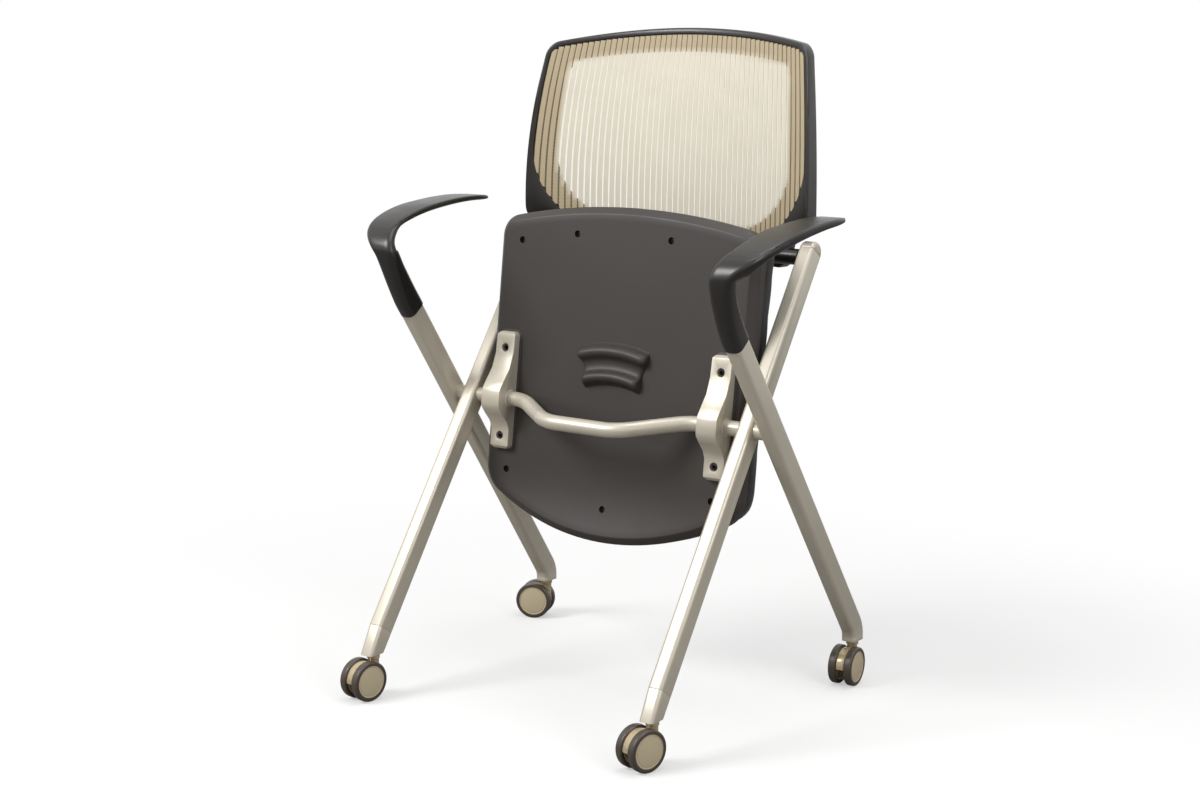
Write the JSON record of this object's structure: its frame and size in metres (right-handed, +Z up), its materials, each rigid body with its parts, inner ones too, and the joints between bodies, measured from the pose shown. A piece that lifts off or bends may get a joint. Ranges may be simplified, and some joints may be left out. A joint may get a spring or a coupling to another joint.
{
  "type": "nesting chair",
  "caption": "Nesting chair on an X-shaped tube frame with casters, a flip-up seat with a finger grip, a tilting mesh backrest and hooked armrests",
  "frame": {"origin": "middle of the chair on the floor, under the box round the chair with its seat flipped up", "axes": "x points to the viewer's right when the chair is seen from its front, y points to the rear and z points up"},
  "size_m": [0.588, 0.4899, 0.8405],
  "materials": {
    "frame_paint": "satin",
    "steel": "satin",
    "dark_steel": "satin",
    "black_plastic": "matte",
    "pan_plastic": "satin",
    "plywood": "matte",
    "seat_fabric": "matte",
    "mesh_fabric": "matte",
    "nylon": "matte",
    "rubber": "matte",
    "hood_finish": "gloss",
    "wheel_cover": "satin",
    "tread": "satin"
  },
  "bodies": {
    "frame": {"front_leg_left": "frame_paint", "front_leg_right": "frame_paint", "arm_tube_left": "frame_paint", "arm_tube_right": "frame_paint", "seat_crossbar": "frame_paint", "seat_stop_pins": "steel", "front_feet": "frame_paint", "rear_sockets": "frame_paint", "tube_caps": "frame_paint", "caster_stems": "steel", "arm_left": "black_plastic", "arm_right": "black_plastic", "arm_skin_left": "black_plastic", "arm_skin_right": "black_plastic", "arm_screws": "dark_steel", "back_pins": "steel"},
    "seat": {"seat_pan": "pan_plastic", "seat_board": "plywood", "seat_cushion": "seat_fabric", "seat_bracket_left": "frame_paint", "seat_bracket_right": "frame_paint", "seat_bushes": "nylon", "bracket_screws": "dark_steel", "pan_screws": "dark_steel"},
    "back": {"back_frame": "black_plastic", "back_mesh": "mesh_fabric", "mesh_edge_strip": "black_plastic", "back_hub_left": "black_plastic", "back_hub_right": "black_plastic", "tilt_bushes": "rubber"},
    "front_left_caster": {"front_left_hood": "hood_finish", "front_left_axle": "steel"},
    "front_left_roller_1": {"front_left_wheel_1": "wheel_cover", "front_left_tyre_1": "tread"},
    "front_left_roller_2": {"front_left_wheel_2": "wheel_cover", "front_left_tyre_2": "tread"},
    "front_right_caster": {"front_right_hood": "hood_finish", "front_right_axle": "steel"},
    "front_right_roller_1": {"front_right_wheel_1": "wheel_cover", "front_right_tyre_1": "tread"},
    "front_right_roller_2": {"front_right_wheel_2": "wheel_cover", "front_right_tyre_2": "tread"},
    "rear_left_caster": {"rear_left_hood": "hood_finish", "rear_left_axle": "steel"},
    "rear_left_roller_1": {"rear_left_wheel_1": "wheel_cover", "rear_left_tyre_1": "tread"},
    "rear_left_roller_2": {"rear_left_wheel_2": "wheel_cover", "rear_left_tyre_2": "tread"},
    "rear_right_caster": {"rear_right_hood": "hood_finish", "rear_right_axle": "steel"},
    "rear_right_roller_1": {"rear_right_wheel_1": "wheel_cover", "rear_right_tyre_1": "tread"},
    "rear_right_roller_2": {"rear_right_wheel_2": "wheel_cover", "rear_right_tyre_2": "tread"}
  },
  "joints": [
    {"name": "seat_flip", "type": "hinge", "parent": "frame", "child": "seat", "pos_m": [0, 0.0004, 0.3615], "axis": [1, 0, 0], "range_deg": [0, 93]},
    {"name": "back_tilt", "type": "hinge", "parent": "frame", "child": "back", "pos_m": [0, 0.13522, 0.55988], "axis": [-1, 0, 0], "range_deg": [0, 12], "stiffness_Nm_per_rad": 100},
    {"name": "front_left_swivel", "type": "hinge", "parent": "frame", "child": "front_left_caster", "pos_m": [-0.2073, -0.20122, 0.056], "axis": [0, 0, 1], "continuous": true},
    {"name": "front_left_roll_1", "type": "hinge", "parent": "front_left_caster", "child": "front_left_roller_1", "pos_m": [-0.20994, -0.217, 0.0255], "axis": [0.9863, -0.165, 0], "continuous": true},
    {"name": "front_left_roll_2", "type": "hinge", "parent": "front_left_caster", "child": "front_left_roller_2", "pos_m": [-0.20994, -0.217, 0.0255], "axis": [0.9863, -0.165, 0], "continuous": true},
    {"name": "front_right_swivel", "type": "hinge", "parent": "frame", "child": "front_right_caster", "pos_m": [0.2073, -0.20122, 0.056], "axis": [0, 0, 1], "continuous": true},
    {"name": "front_right_roll_1", "type": "hinge", "parent": "front_right_caster", "child": "front_right_roller_1", "pos_m": [0.20236, -0.21644, 0.0255], "axis": [0.9511, -0.309, 0], "continuous": true},
    {"name": "front_right_roll_2", "type": "hinge", "parent": "front_right_caster", "child": "front_right_roller_2", "pos_m": [0.20236, -0.21644, 0.0255], "axis": [0.9511, -0.309, 0], "continuous": true},
    {"name": "rear_left_swivel", "type": "hinge", "parent": "frame", "child": "rear_left_caster", "pos_m": [-0.24581, 0.22735, 0.056], "axis": [0, 0, 1], "continuous": true},
    {"name": "rear_left_roll_1", "type": "hinge", "parent": "rear_left_caster", "child": "rear_left_roller_1", "pos_m": [-0.26085, 0.22187, 0.0255], "axis": [0.342, -0.9397, 0], "continuous": true},
    {"name": "rear_left_roll_2", "type": "hinge", "parent": "rear_left_caster", "child": "rear_left_roller_2", "pos_m": [-0.26085, 0.22187, 0.0255], "axis": [0.342, -0.9397, 0], "continuous": true},
    {"name": "rear_right_swivel", "type": "hinge", "parent": "frame", "child": "rear_right_caster", "pos_m": [0.24581, 0.22735, 0.056], "axis": [0, 0, 1], "continuous": true},
    {"name": "rear_right_roll_1", "type": "hinge", "parent": "rear_right_caster", "child": "rear_right_roller_1", "pos_m": [0.24665, 0.21137, 0.0255], "axis": [0.9986, 0.0523, 0], "continuous": true},
    {"name": "rear_right_roll_2", "type": "hinge", "parent": "rear_right_caster", "child": "rear_right_roller_2", "pos_m": [0.24665, 0.21137, 0.0255], "axis": [0.9986, 0.0523, 0], "continuous": true}
  ]
}
